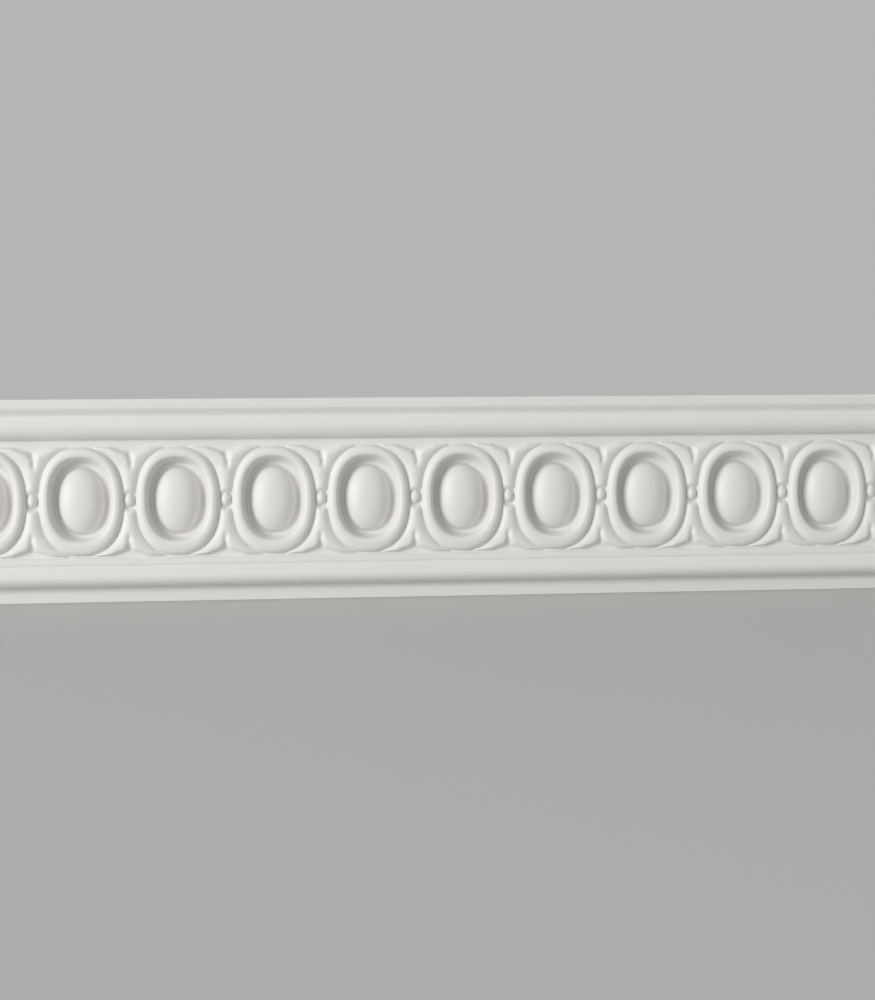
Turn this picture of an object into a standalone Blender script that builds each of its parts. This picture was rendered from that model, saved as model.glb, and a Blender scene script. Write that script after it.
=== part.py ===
"""Dado rail: one length of cast plaster moulding, enriched with ovals and husks.

The rail is a single casting. Its ornament is cast in one with it, so it is one closed solid:
plain mouldings above and below, and between them a sunk panel with an oval for every repeat,
a bead between two ovals and a husk of two leaves above and below each bead.

Frame: X runs along the rail, Z is up, the ornament faces -Y and the flat back lies on Y = 0.
The origin is the middle of the back. Lengths are in metres.
"""

import math

import bmesh
import bpy
from mathutils import Vector
from mathutils.geometry import delaunay_2d_cdt

MM = 0.001

# Length of the casting: whole repeats of the ornament, cut square through the end beads
REPEATS = 11
PITCH = 33.0 * MM

# Members of the profile, from the top down: how high each is
TOP_FILLET_HEIGHT = 2.9 * MM
TOP_ROUND_HEIGHT = 3.0 * MM
TORUS_RISE_HEIGHT = 3.5 * MM
TORUS_UNDER_HEIGHT = 4.5 * MM
PANEL_HEIGHT = 40.6 * MM
LIST_HEIGHT = 2.1 * MM
OVOLO_FACE_HEIGHT = 4.2 * MM
OVOLO_UNDER_HEIGHT = 4.0 * MM
COVE_HEIGHT = 2.1 * MM
BOTTOM_FILLET_HEIGHT = 3.1 * MM

# How far each member stands off the wall
TOP_FILLET_FACE = 21.0 * MM
GROOVE_FACE = 19.2 * MM
TORUS_FACE = 20.6 * MM
PANEL_FACE = 15.8 * MM
LIST_FACE = 17.6 * MM
QUIRK_FACE = 17.2 * MM
OVOLO_FACE = 19.2 * MM
OVOLO_FOOT_FACE = 13.6 * MM
BOTTOM_FILLET_FACE = 12.0 * MM
LIST_EDGE_RADIUS = 0.5 * MM

# The oval: a raised ring, a sunk channel inside it and a domed boss in the middle.
# Each loop has an inset from the ring's foot, a half height, a lift of its middle above the
# ornament's, and a fullness, which is 2 for an ellipse and more for a squarer oval.
ORNAMENT_DROP = 0.9 * MM
RING_GAP = 4.2 * MM
OVAL_CLEARANCE = 1.6 * MM
RING_WIDTH_AT_HEAD = 4.1 * MM
BOSS_INSET_AT_HEAD = 7.1 * MM
RING_WIDTH = 3.4 * MM
RING_RISE = 2.7 * MM
RING_SHOULDER = 0.7 * MM
RING_SHOULDER_RISE = 2.0 * MM
RING_LIP_RISE = 2.4 * MM
RING_CROWN_SHARE = 0.67
CHANNEL_WALL_RUN = 1.6 * MM
CHANNEL_FLOOR_WIDTH = 1.45 * MM
CHANNEL_DEPTH = 3.0 * MM
BOSS_RISE = 5.4 * MM
DOME_FLATNESS = 2.6
BOSS_INSET = RING_WIDTH + CHANNEL_WALL_RUN + CHANNEL_FLOOR_WIDTH
OVAL_HALF_HEIGHT = PANEL_HEIGHT / 2 - OVAL_CLEARANCE
OVAL_KEYS = (
    (0.0, OVAL_HALF_HEIGHT, 0.0, 2.3),
    (RING_WIDTH, OVAL_HALF_HEIGHT - RING_WIDTH_AT_HEAD, 0.7 * MM, 2.4),
    (BOSS_INSET, OVAL_HALF_HEIGHT - BOSS_INSET_AT_HEAD, 0.3 * MM, 2.1),
)

# The bead between two rings
BEAD_HALF_WIDTH = 1.7 * MM
BEAD_HALF_HEIGHT = 2.3 * MM
BEAD_LIFT = 0.5 * MM
BEAD_RISE = 1.9 * MM

# A husk: two leaves spring as one stem from beside the bead, and each lies along a ring to a tip
# on its shoulder. The husk ends in a nearly level edge, and a groove parts its leaves there.
LEAF_ROOT_DEG = 5.5
LEAF_TIP_DEG = 76.0
LEAF_ROOT_SHARE = 0.06
LEAF_WIDTH = 6.2 * MM
LEAF_FULLNESS = 0.75
LEAF_RISE = 2.1 * MM
LEAF_TAPER = 0.45
LEAF_RIDGE_SHARE = 0.62
LEAF_SHOULDER_SHARE = 0.3
LEAF_PARTING = 1.3
LEAF_CLEARANCE = 1.4 * MM
HUSK_CLEARANCE = 3.4 * MM
LEAF_TOP = PANEL_HEIGHT / 2 - LEAF_CLEARANCE
HUSK_END = PANEL_HEIGHT / 2 - HUSK_CLEARANCE
HUSK_FLARE = 0.315
GROOVE_START = 10.0 * MM
GROOVE_RUN = 3.0 * MM
GROOVE_HALF_WIDTH = 1.9 * MM
GROOVE_DEPTH_SHARE = 0.45

# How finely curves are cut into flats
RING_SIDES = 40
BOSS_SIDES = 32
BOSS_SIDES_FEWER = 4
BOSS_RINGS = 3
BEAD_SIDES = 12
BEAD_DOME_SHARE = 0.62
LEAF_STEPS = 10
LEAF_TIP_STEP = 0.2
STEM_STEPS = 4
GROOVE_STEPS = 5
PANEL_COLUMNS = 6
ARC_STEPS = 4
LONG_ARC_STEPS = 6
COVE_STEPS = 3
EDGE_STEPS = 2
HALVINGS = 40

# Sizes that follow from those above
LENGTH = REPEATS * PITCH
HEIGHT = (
    TOP_FILLET_HEIGHT + TOP_ROUND_HEIGHT + TORUS_RISE_HEIGHT + TORUS_UNDER_HEIGHT + PANEL_HEIGHT
    + LIST_HEIGHT + OVOLO_FACE_HEIGHT + OVOLO_UNDER_HEIGHT + COVE_HEIGHT + BOTTOM_FILLET_HEIGHT
)
RING_HALF_WIDTH = (PITCH - RING_GAP) / 2
HEAD_REACH = PANEL_HEIGHT / 2 + ORNAMENT_DROP
FOOT_REACH = PANEL_HEIGHT / 2 - ORNAMENT_DROP

# Plaster, painted white
PLASTER_COLOUR = (0.80, 0.79, 0.76, 1.0)
PLASTER_ROUGHNESS = 0.5

# Edges sharper than this stay crisp when the surface is shaded
ARRIS_DEG = 38.0

# Points closer than this are one point, and no detail is narrower than the second
SAME_POINT = 0.001 * MM
NARROWEST = 0.35 * MM

# The least part of a way out that counts as running across or up
LEAST_PART = 0.001


def quarter_curve(start, end, falls_first, steps=ARC_STEPS):
    """Points after start on a quarter of an oval, in (face, level), the last of them end.

    With falls_first the curve leaves start straight down and reaches end running level;
    without it, it leaves start running level and reaches end straight down.
    """
    points = []
    for step in range(1, steps + 1):
        angle = math.pi / 2 * step / steps
        near, far = 1 - math.cos(angle), math.sin(angle)
        across, down = (near, far) if falls_first else (far, near)
        points.append((start[0] + (end[0] - start[0]) * across, start[1] + (end[1] - start[1]) * down))
    return points


def swelling_curve(start, end, steps=ARC_STEPS):
    """Points after start on a gentle double curve that is upright at both ends."""
    points = []
    for step in range(1, steps + 1):
        share = step / steps
        across = (1 - math.cos(math.pi * share)) / 2
        points.append((start[0] + (end[0] - start[0]) * across, start[1] + (end[1] - start[1]) * share))
    return points


def upper_profile():
    """(face, level) from the top of the back down to the panel's upper edge."""
    level = HEIGHT / 2
    points = [(0.0, level), (TOP_FILLET_FACE, level)]
    level -= TOP_FILLET_HEIGHT
    points.append((TOP_FILLET_FACE, level))
    level -= TOP_ROUND_HEIGHT
    points += swelling_curve(points[-1], (GROOVE_FACE, level))
    level -= TORUS_RISE_HEIGHT
    points += swelling_curve(points[-1], (TORUS_FACE, level))
    level -= TORUS_UNDER_HEIGHT
    points += quarter_curve(points[-1], (PANEL_FACE, level), falls_first=True, steps=LONG_ARC_STEPS)
    return points


def lower_profile(panel_foot):
    """(face, level) from the panel's lower edge down to the foot of the back."""
    edge = LIST_EDGE_RADIUS
    level = panel_foot
    points = [(PANEL_FACE, level), (LIST_FACE - edge, level)]
    points += quarter_curve(points[-1], (LIST_FACE, level - edge), falls_first=False, steps=EDGE_STEPS)
    level -= LIST_HEIGHT
    points.append((LIST_FACE, level))
    points.append((QUIRK_FACE, level - edge))
    points += swelling_curve(points[-1], (OVOLO_FACE, level - OVOLO_FACE_HEIGHT))
    level -= OVOLO_FACE_HEIGHT + OVOLO_UNDER_HEIGHT
    points += quarter_curve(points[-1], (OVOLO_FOOT_FACE, level), falls_first=True, steps=LONG_ARC_STEPS)
    level -= COVE_HEIGHT
    points += quarter_curve(points[-1], (BOTTOM_FILLET_FACE, level), falls_first=False, steps=COVE_STEPS)
    level -= BOTTOM_FILLET_HEIGHT
    points += [(BOTTOM_FILLET_FACE, level), (0.0, level)]
    return points


def oval_size(inset):
    """Half width, half height, lift and fullness of the oval's loop at this inset."""
    near, far = OVAL_KEYS[:2] if inset <= OVAL_KEYS[1][0] else OVAL_KEYS[1:]
    share = (inset - near[0]) / (far[0] - near[0])
    return [RING_HALF_WIDTH - inset] + [a + (b - a) * share for a, b in zip(near[1:], far[1:])]


def loop_point(angle, half_width, half_height, lift, fullness):
    """The point of a loop at this angle, in (across, up) from the ornament's middle."""
    along, rise = math.cos(angle), math.sin(angle)
    across = math.copysign(abs(along) ** (2 / fullness), along) * half_width
    up = math.copysign(abs(rise) ** (2 / fullness), rise) * half_height
    return across, up + lift


def ring_foot(angle):
    """The point of the ring's outer foot at this angle of its first quarter, and the way out from it."""
    half_width, half_height, lift, fullness = oval_size(0.0)
    foot = Vector(loop_point(angle, half_width, half_height, lift, fullness))
    along = foot.x ** (fullness - 1) / half_width ** fullness
    rise = foot.y ** (fullness - 1) / half_height ** fullness
    return foot, Vector((along, rise)).normalized()


def nearest_angle(across, up):
    """The ring's angle whose way out passes through this point of the corner outside the ring."""
    low, high = 0.0, math.pi / 2
    for _ in range(HALVINGS):
        angle = (low + high) / 2
        foot, outward = ring_foot(angle)
        if outward.cross(Vector((across, up)) - foot) > 0:
            low = angle
        else:
            high = angle
    return (low + high) / 2


def leaf_share(angle):
    """How far along its leaf this angle of the ring lies, from 0 at the root to 1 at the tip."""
    return (math.degrees(angle) - LEAF_ROOT_DEG) / (LEAF_TIP_DEG - LEAF_ROOT_DEG)


def leaf_swell(share, power):
    """How far the leaf has opened: quickly from 0 at its root to 1, and slowly back to 0 at its tip."""
    if not 0 < share < 1:
        return 0.0
    root = math.sqrt(min(1.0, share / LEAF_ROOT_SHARE))
    return root * math.sin(math.pi * max(share, 0.5)) ** power


def leaf_section(angle):
    """How far out the leaf reaches at this angle, where its ridge runs, and how far it is joined.

    Where the two leaves of a husk are joined they make one stem, with its ridge on the axis between
    the rings. Where they part, each has a ridge of its own and falls to a free edge.
    """
    foot, outward = ring_foot(angle)
    off_axis = PITCH / 2 - foot.x
    to_axis = off_axis / max(outward.x, LEAST_PART)
    to_end = (HUSK_END - foot.y + HUSK_FLARE * off_axis) / (outward.y + HUSK_FLARE * outward.x)
    to_top = (LEAF_TOP - foot.y) / max(outward.y, LEAST_PART)
    spread = min(LEAF_WIDTH * leaf_swell(leaf_share(angle), LEAF_FULLNESS), to_end, to_top)
    joined = min(1.0, max(0.0, (spread / to_axis - 1) / (LEAF_PARTING - 1)))
    return min(spread, to_axis), LEAF_RIDGE_SHARE + (1 - LEAF_RIDGE_SHARE) * joined, joined


def leaf_height(across, up):
    """Height of the leaf over a point outside the ring: up to a ridge, then down to its free edge."""
    angle = nearest_angle(across, up)
    reach, ridge_share, joined = leaf_section(angle)
    foot, outward = ring_foot(angle)
    share = (Vector((across, up)) - foot).dot(outward) / reach if reach > 0 else 0.0
    if not 0 < share < 1 + SAME_POINT / LEAF_WIDTH:
        return 0.0
    ridge = LEAF_RISE * leaf_swell(leaf_share(angle), LEAF_TAPER)
    if share <= ridge_share or joined == 1:
        return ridge * math.sqrt(1 - (1 - min(1.0, share / ridge_share)) ** 2)
    fallen = (1 - joined) * (share - ridge_share) / (1 - ridge_share)
    return max(0.0, ridge * math.cos(math.pi / 2 * fallen))


def groove_share(across, up):
    """How much of the husk's height is left here by the groove that parts its leaves."""
    begun = min(1.0, max(0.0, (up - GROOVE_START) / GROOVE_RUN))
    away = min(1.0, (PITCH / 2 - across) / GROOVE_HALF_WIDTH)
    return 1 - GROOVE_DEPTH_SHARE * begun * begun * (3 - 2 * begun) * (1 - away) ** 2


def bead_height(across, up):
    """Height of the bead's dome."""
    away = math.hypot((PITCH / 2 - across) / BEAD_HALF_WIDTH, (up - BEAD_LIFT) / BEAD_HALF_HEIGHT)
    return BEAD_RISE * math.sqrt(1 - away ** DOME_FLATNESS) if away < 1 else 0.0


def outer_height(across, up):
    """Height over the panel at a point outside the ring; left and right are alike."""
    across = abs(across)
    leaf = leaf_height(across, abs(up)) * groove_share(across, abs(up))
    return max(leaf, bead_height(across, up))


def oval_loops():
    """The loops of one oval, from the ring's outer foot in: (sizes, height, number of sides)."""
    crown = RING_SHOULDER + (RING_WIDTH - RING_SHOULDER) * RING_CROWN_SHARE
    loops = [
        (0.0, 0.0, RING_SIDES),
        (RING_SHOULDER, RING_SHOULDER_RISE, RING_SIDES),
        (crown, RING_RISE, RING_SIDES),
        (RING_WIDTH, RING_LIP_RISE, RING_SIDES),
        (RING_WIDTH + CHANNEL_WALL_RUN, -CHANNEL_DEPTH, BOSS_SIDES),
    ]
    return [(oval_size(inset), height, sides) for inset, height, sides in loops]


def boss_loops():
    """The loops of the boss, from its foot up its dome."""
    half_width, half_height, lift, fullness = oval_size(BOSS_INSET)
    loops = []
    for ring in range(BOSS_RINGS):
        share = math.cos(math.pi / 2 * ring / BOSS_RINGS)
        rise = BOSS_RISE * math.sqrt(1 - share ** DOME_FLATNESS)
        sizes = (half_width * share, half_height * share, lift, fullness)
        loops.append((sizes, rise - CHANNEL_DEPTH, BOSS_SIDES - BOSS_SIDES_FEWER * ring * ring))
    return loops


class Chart:
    """Points of the ornament laid out flat, with their heights and the lines that join them."""

    def __init__(self):
        self.places = []
        self.heights = []
        self.lines = []
        self.known = {}

    def point(self, across, up, height):
        key = (round(across / SAME_POINT), round(up / SAME_POINT))
        if key not in self.known:
            self.known[key] = len(self.places)
            self.places.append(Vector((across, up)))
            self.heights.append(height)
        return self.known[key]

    def line(self, points, closed=False):
        marks = [self.point(*point) for point in points]
        pairs = list(zip(marks, marks[1:] + marks[:1]))
        self.lines += pairs if closed else pairs[:-1]

    def triangles(self):
        """The chart cut into triangles along its lines."""
        places, _, faces, sources, _, _ = delaunay_2d_cdt(self.places, self.lines, [], 0, SAME_POINT / 10)
        heights = [
            self.heights[source[0]] if source else outer_height(*place)
            for place, source in zip(places, sources)
        ]
        return places, heights, faces


def even_levels(low, high, steps):
    """Levels that rise in even steps from low, short of high."""
    return [low + (high - low) * step / steps for step in range(steps)]


def axis_levels():
    """Levels, from the panel's foot to its head, at which the line through the beads has a point."""
    quarter = BEAD_SIDES // 4
    turns = [2 * math.pi * step / BEAD_SIDES for step in range(-quarter, quarter + 1)]
    bead = [BEAD_LIFT + BEAD_HALF_HEIGHT * math.sin(turn) for turn in turns]
    root = ring_foot(math.radians(LEAF_ROOT_DEG))[0].y
    husk = even_levels(root, GROOVE_START, STEM_STEPS) + even_levels(GROOVE_START, HUSK_END, GROOVE_STEPS)
    husk.append(HUSK_END)
    above = [level for level in husk + [HEAD_REACH] if level > bead[-1] + NARROWEST]
    below = [-level for level in reversed(husk + [FOOT_REACH]) if -level < bead[0] - NARROWEST]
    return below + bead + above


def leaf_lines():
    """Lines of one husk's leaf: its shoulder, its ridge, its edge, and the side of the groove."""
    shoulder, ridge, edge = [], [], []
    for step in list(range(1, LEAF_STEPS)) + [LEAF_STEPS - LEAF_TIP_STEP]:
        angle = math.radians(LEAF_ROOT_DEG + (LEAF_TIP_DEG - LEAF_ROOT_DEG) * step / LEAF_STEPS)
        foot, outward = ring_foot(angle)
        reach, ridge_share, _ = leaf_section(angle)
        shares = (LEAF_SHOULDER_SHARE * ridge_share, ridge_share, 1.0)
        for share, line in zip(shares, (shoulder, ridge, edge)):
            place = foot + outward * reach * share
            if reach * share > NARROWEST and place.x < PITCH / 2 - NARROWEST:
                line.append((place.x, place.y))
    ridge.pop()
    edge.insert(0, (PITCH / 2, HUSK_END))
    groove = [(PITCH / 2 - GROOVE_HALF_WIDTH, up) for up in even_levels(GROOVE_START, HUSK_END, GROOVE_STEPS)]
    return [shoulder, ridge, edge, groove]


def bead_lines():
    """Lines round half the bead: its foot, from the axis to the axis, and one on its dome."""
    turns = [2 * math.pi * step / BEAD_SIDES for step in range(BEAD_SIDES // 2 + 1)]
    lines = []
    for share, kept in ((1.0, turns), (BEAD_DOME_SHARE, turns[1:-1])):
        width, height = BEAD_HALF_WIDTH * share, BEAD_HALF_HEIGHT * share
        lines.append([(PITCH / 2 - width * math.sin(t), BEAD_LIFT + height * math.cos(t)) for t in kept])
    return lines


def panel_columns():
    """Places along one repeat at which the panel's upper and lower edges have a point."""
    return [PITCH * (step / PANEL_COLUMNS - 0.5) for step in range(PANEL_COLUMNS + 1)]


def chart_of_one_repeat():
    """The ornament of one repeat, from the axis of one bead to the axis of the next."""
    chart = Chart()
    for across in (-PITCH / 2, PITCH / 2):
        chart.line([(across, up, outer_height(across, up)) for up in axis_levels()])
    for up in (-FOOT_REACH, HEAD_REACH):
        chart.line([(across, up, 0.0) for across in panel_columns()])
    for sizes, height, sides in oval_loops() + boss_loops():
        turns = [2 * math.pi * step / sides for step in range(sides)]
        chart.line([(*loop_point(turn, *sizes), height) for turn in turns], closed=True)
    chart.point(0.0, oval_size(BOSS_INSET)[2], BOSS_RISE - CHANNEL_DEPTH)
    for side in (-1, 1):
        for line in bead_lines():
            chart.line([(side * x, y, outer_height(x, y)) for x, y in line])
        for turned in (-1, 1):
            for line in leaf_lines():
                chart.line([(side * x, turned * y, outer_height(x, turned * y)) for x, y in line])
    return chart


class Casting:
    """A mesh whose corners are shared wherever two faces meet."""

    def __init__(self):
        self.mesh = bmesh.new()
        self.corners = {}

    def corner(self, along, face, level):
        key = tuple(round(value / SAME_POINT) for value in (along, face, level))
        if key not in self.corners:
            self.corners[key] = self.mesh.verts.new((along, -face, level))
        return self.corners[key]

    def face(self, points):
        self.mesh.faces.new([self.corner(*point) for point in points])

    def strips(self, line, start, end):
        """A flat along one repeat between each two neighbours of a line of (face, level)."""
        for (face, level), (next_face, next_level) in zip(line, line[1:]):
            self.face([
                (start, face, level), (start, next_face, next_level),
                (end, next_face, next_level), (end, face, level),
            ])

    def fan_strip(self, outer, inner, start, end):
        """A flat between a plain edge and the panel's edge, which has more points."""
        middle = (start + end) / 2
        along = [middle + column for column in panel_columns()]
        half = PANEL_COLUMNS // 2
        for step in range(PANEL_COLUMNS):
            near = start if step < half else end
            self.face([(near, *outer), (along[step], *inner), (along[step + 1], *inner)])
        self.face([(start, *outer), (along[half], *inner), (end, *outer)])

    def close(self):
        """Fills the two ends, turns every face outward and cuts the faces into triangles."""
        open_edges = [edge for edge in self.mesh.edges if edge.is_boundary]
        bmesh.ops.edgeloop_fill(self.mesh, edges=open_edges)
        bmesh.ops.recalc_face_normals(self.mesh, faces=self.mesh.faces)
        bmesh.ops.triangulate(self.mesh, faces=self.mesh.faces)


def cast_rail():
    """The whole rail as one closed mesh: its mouldings, its ornament, its back and its ends."""
    casting = Casting()
    upper = upper_profile()
    panel_head = upper[-1][1]
    lower = lower_profile(panel_head - PANEL_HEIGHT)
    ornament_middle = panel_head - HEAD_REACH
    places, heights, triangles = chart_of_one_repeat().triangles()
    for repeat in range(REPEATS):
        start = PITCH * (repeat - REPEATS / 2)
        end = start + PITCH
        casting.strips(upper[:-1], start, end)
        casting.fan_strip(upper[-2], upper[-1], start, end)
        casting.fan_strip(lower[1], lower[0], start, end)
        casting.strips(lower[1:] + upper[:1], start, end)
        for triangle in triangles:
            casting.face([
                (start + PITCH / 2 + places[i].x, PANEL_FACE + heights[i], ornament_middle + places[i].y)
                for i in triangle
            ])
    casting.close()
    return casting.mesh


def plaster():
    """White painted plaster, satin."""
    material = bpy.data.materials.new("white_plaster")
    material.use_nodes = True
    shader = material.node_tree.nodes["Principled BSDF"]
    shader.inputs["Base Color"].default_value = PLASTER_COLOUR
    shader.inputs["Roughness"].default_value = PLASTER_ROUGHNESS
    shader.inputs["Metallic"].default_value = 0.0
    return material


def make_rail():
    """Puts the casting in the scene, with smooth curves and crisp arrises."""
    mesh = bpy.data.meshes.new("dado_rail")
    solid = cast_rail()
    solid.to_mesh(mesh)
    solid.free()
    mesh.materials.append(plaster())
    mesh.shade_smooth()
    mesh.set_sharp_from_angle(angle=math.radians(ARRIS_DEG))
    rail = bpy.data.objects.new("dado_rail", mesh)
    bpy.context.scene.collection.objects.link(rail)


for old in list(bpy.data.objects):
    bpy.data.objects.remove(old)
make_rail()
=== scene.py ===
# %% [markdown]
# A length of dado rail in cast plaster.
# A dado rail is planted on a wall at about the height of a chair's back. This one was cast in a
# flexible mould: plain mouldings above and below, and between them a sunk band of upright ovals,
# with a bead and two leaf husks between each oval and the next.
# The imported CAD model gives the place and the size. This lesson makes the same casting again with
# all its small relief, gives it its plaster finishes, and lights it softly from the left.

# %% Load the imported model
import math

import bpy
import numpy as np
from mathutils import Matrix, Vector, noise
from mathutils.geometry import delaunay_2d_cdt


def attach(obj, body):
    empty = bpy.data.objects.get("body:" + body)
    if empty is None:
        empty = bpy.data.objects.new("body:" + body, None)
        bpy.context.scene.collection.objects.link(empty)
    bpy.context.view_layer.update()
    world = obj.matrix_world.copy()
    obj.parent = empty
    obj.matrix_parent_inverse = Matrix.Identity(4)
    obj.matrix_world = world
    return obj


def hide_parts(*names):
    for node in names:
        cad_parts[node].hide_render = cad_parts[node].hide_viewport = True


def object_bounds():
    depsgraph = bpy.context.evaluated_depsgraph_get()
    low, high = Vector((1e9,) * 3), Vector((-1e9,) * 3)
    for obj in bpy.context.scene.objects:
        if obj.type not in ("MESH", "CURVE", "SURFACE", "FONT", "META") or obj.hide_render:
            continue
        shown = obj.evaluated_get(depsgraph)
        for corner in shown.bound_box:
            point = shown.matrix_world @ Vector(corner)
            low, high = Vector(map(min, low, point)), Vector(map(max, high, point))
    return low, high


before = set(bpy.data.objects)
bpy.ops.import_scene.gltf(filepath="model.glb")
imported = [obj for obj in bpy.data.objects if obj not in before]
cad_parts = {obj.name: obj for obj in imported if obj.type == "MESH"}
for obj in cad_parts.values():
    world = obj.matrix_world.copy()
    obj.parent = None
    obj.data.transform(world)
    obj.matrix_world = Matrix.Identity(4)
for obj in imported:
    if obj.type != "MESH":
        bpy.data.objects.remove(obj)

MM = 0.001
cad_low, cad_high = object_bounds()
print("CAD box in mm:", [round(v / MM, 2) for v in (*cad_low, *cad_high)])

# %% [markdown]
# The casting's sizes.
# They are the same named sizes as the solid's, in millimetres. A member's height is how much of the
# rail's 70 mm it takes. Its face is how far it stands off the wall. The pattern repeats every 33 mm
# and the rail is cut square through a bead at each end, so that two lengths make a whole bead.

# %% Sizes of the profile
REPEATS = 11
PITCH = 33.0
HEIGHT = 70.0
PANEL_HEIGHT = 40.6
PANEL_HEAD = 21.1
PANEL_FACE = 15.8

TOP_FILLET_HEIGHT, TOP_FILLET_FACE = 2.9, 21.0
TOP_ROUND_HEIGHT, GROOVE_FACE = 3.0, 19.2
TORUS_RISE_HEIGHT, TORUS_FACE = 3.5, 20.6
TORUS_UNDER_HEIGHT = 4.5
LIST_HEIGHT, LIST_FACE, QUIRK_FACE = 2.1, 17.6, 17.2
LIST_EDGE = 0.5
OVOLO_FACE_HEIGHT, OVOLO_FACE = 4.2, 19.2
OVOLO_UNDER_HEIGHT, OVOLO_FOOT_FACE = 4.0, 13.6
COVE_HEIGHT, BOTTOM_FILLET_FACE = 2.1, 12.0
print("length", REPEATS * PITCH, "mm, height", HEIGHT, "mm")
print("the band takes", round(PANEL_HEIGHT / HEIGHT, 2), "of the height")

# %% Sizes of the ornament
ORNAMENT_DROP = 0.9
RING_HALF_WIDTH = 14.4
RING_WIDTH, RING_RISE, RING_CROWN, RING_LIP_RISE = 3.4, 2.7, 2.5, 2.4
CHANNEL_WALL_RUN, CHANNEL_FLOOR_WIDTH, CHANNEL_DEPTH = 1.6, 1.45, 3.0
BOSS_RISE, DOME_FLATNESS = 5.4, 2.6
BOSS_INSET = RING_WIDTH + CHANNEL_WALL_RUN + CHANNEL_FLOOR_WIDTH
OVAL_INSETS = (0.0, RING_WIDTH, BOSS_INSET)
OVAL_HALF_HEIGHTS = (18.7, 14.6, 11.6)
OVAL_LIFTS = (0.0, 0.7, 0.3)
OVAL_FULLNESSES = (2.3, 2.4, 2.1)
BEAD_HALF_WIDTH, BEAD_HALF_HEIGHT, BEAD_LIFT, BEAD_RISE = 1.7, 2.3, 0.5, 1.9
LEAF_ROOT_DEG, LEAF_TIP_DEG, LEAF_ROOT_SHARE = 5.5, 76.0, 0.06
LEAF_WIDTH, LEAF_FULLNESS, LEAF_RISE, LEAF_TAPER = 6.2, 0.75, 2.1, 0.45
LEAF_RIDGE_SHARE, LEAF_PARTING = 0.62, 1.3
LEAF_TOP, HUSK_END, HUSK_FLARE = 18.9, 16.9, 0.315
GROOVE_START, GROOVE_RUN, GROOVE_HALF_WIDTH, GROOVE_DEPTH_SHARE = 10.0, 3.0, 1.9, 0.45
GROOVE_OFFSET, GROOVE_LEAN = 0.2, 0.035
RING_ROUNDNESS = 2.4

HEAD_REACH = PANEL_HEIGHT / 2 + ORNAMENT_DROP
FOOT_REACH = PANEL_HEIGHT / 2 - ORNAMENT_DROP
ORNAMENT_MIDDLE = PANEL_HEAD - HEAD_REACH
BOSS_HALF_WIDTH = RING_HALF_WIDTH - BOSS_INSET
print("boss:", round(2 * BOSS_HALF_WIDTH, 2), "by", round(2 * OVAL_HALF_HEIGHTS[2], 2), "mm")
print("the ornament's middle is", round(-ORNAMENT_MIDDLE, 2), "mm below the rail's")

# %% [markdown]
# The profile of the mouldings.
# A plasterer cuts this outline in zinc and runs the model of the rail with it. It could be drawn as a
# curve and extruded. Here it is a list of points, because the sunk band has to join it point by point.
# A cast arris is never quite sharp: the mould's silicone and the paint take the edge off. So the
# outline is resampled finely and each point is averaged with its neighbours, which rounds every
# corner by about half a millimetre and leaves the flats and long curves as they were.

# %% Two curves that join a corner to the next
CURVE_STEPS = 24


def between(start, end, across, down):
    """Points from start to end, at these shares of the way across and down."""
    (face, level), (to_face, to_level) = start, end
    return [(face + (to_face - face) * a, level + (to_level - level) * d) for a, d in zip(across, down)]


def quarter(start, end, falls_first):
    """A quarter of an oval from start to end; with falls_first it leaves start going straight down."""
    angle = np.linspace(0, math.pi / 2, CURVE_STEPS + 1)[1:]
    near, far = 1 - np.cos(angle), np.sin(angle)
    return between(start, end, near, far) if falls_first else between(start, end, far, near)


def swelling(start, end):
    """A gentle double curve from start to end, upright at both."""
    share = np.linspace(0, 1, CURVE_STEPS + 1)[1:]
    return between(start, end, (1 - np.cos(math.pi * share)) / 2, share)


print("a half-round's first point past its corner:", quarter((0.0, 0.0), (1.0, -1.0), True)[0])

# %% The outline, from the top of the back round to its foot
def outline():
    """(face, level) of every corner and curve point of the profile."""
    level = HEIGHT / 2 - TOP_FILLET_HEIGHT
    points = [(0.0, HEIGHT / 2), (TOP_FILLET_FACE, HEIGHT / 2), (TOP_FILLET_FACE, level)]
    level -= TOP_ROUND_HEIGHT
    points += swelling(points[-1], (GROOVE_FACE, level))
    level -= TORUS_RISE_HEIGHT
    points += swelling(points[-1], (TORUS_FACE, level))
    points += quarter(points[-1], (PANEL_FACE, PANEL_HEAD), True)
    level = PANEL_HEAD - PANEL_HEIGHT
    points += [(PANEL_FACE, level), (LIST_FACE - LIST_EDGE, level)]
    points += quarter(points[-1], (LIST_FACE, level - LIST_EDGE), False)
    level -= LIST_HEIGHT
    points += [(LIST_FACE, level), (QUIRK_FACE, level - LIST_EDGE)]
    points += swelling(points[-1], (OVOLO_FACE, level - OVOLO_FACE_HEIGHT))
    level -= OVOLO_FACE_HEIGHT + OVOLO_UNDER_HEIGHT
    points += quarter(points[-1], (OVOLO_FOOT_FACE, level), True)
    level -= COVE_HEIGHT
    points += quarter(points[-1], (BOTTOM_FILLET_FACE, level), False)
    points += [(BOTTOM_FILLET_FACE, -HEIGHT / 2), (0.0, -HEIGHT / 2)]
    return np.array(points)


print("the sharp outline has", len(outline()), "points")

# %% Take the edge off its corners
ARRIS_SOFTENING = 0.16
WALK = 0.05


def bell(spread, step):
    """Weights of a bell curve of this spread, for points this far apart."""
    reach = int(3 * spread / step) + 1
    weights = np.exp(-0.5 * (np.arange(-reach, reach + 1) * step / spread) ** 2)
    return weights / weights.sum()


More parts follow.
